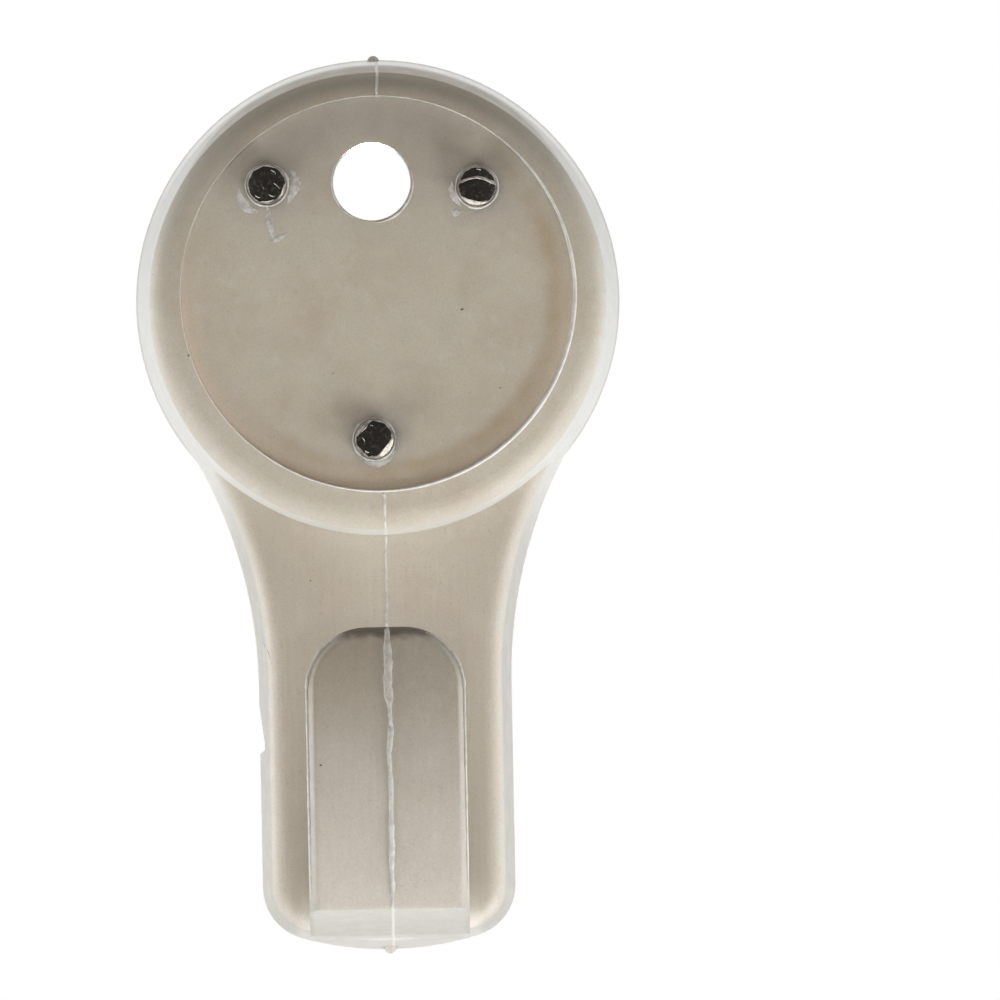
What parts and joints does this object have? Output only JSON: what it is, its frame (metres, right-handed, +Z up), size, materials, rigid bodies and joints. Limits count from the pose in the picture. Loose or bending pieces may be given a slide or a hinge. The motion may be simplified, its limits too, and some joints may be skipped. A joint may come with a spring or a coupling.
{
  "type": "picture hook",
  "caption": "Moulded plastic wall hook with a round pinned head, a nail hole and a flat tail that turns up into a lip for hanging a picture.",
  "frame": {"origin": "on the nail hole's axis, where it meets the wall face of the hook", "axes": "+Z up along the tail towards the head, -Y out of the wall towards the room, +X right as seen from the room"},
  "size_m": [0.0218, 0.0143, 0.0404],
  "materials": {
    "moulded_plastic": "warm off-white moulded plastic, satin, with flash along its mould joints",
    "pin_steel": "dark hard steel wire, sheared at the front end"
  },
  "bodies": {
    "root": {"hook_body": "moulded_plastic", "pin_upper_left": "pin_steel", "pin_upper_right": "pin_steel", "pin_lower": "pin_steel"}
  },
  "joints": []
}
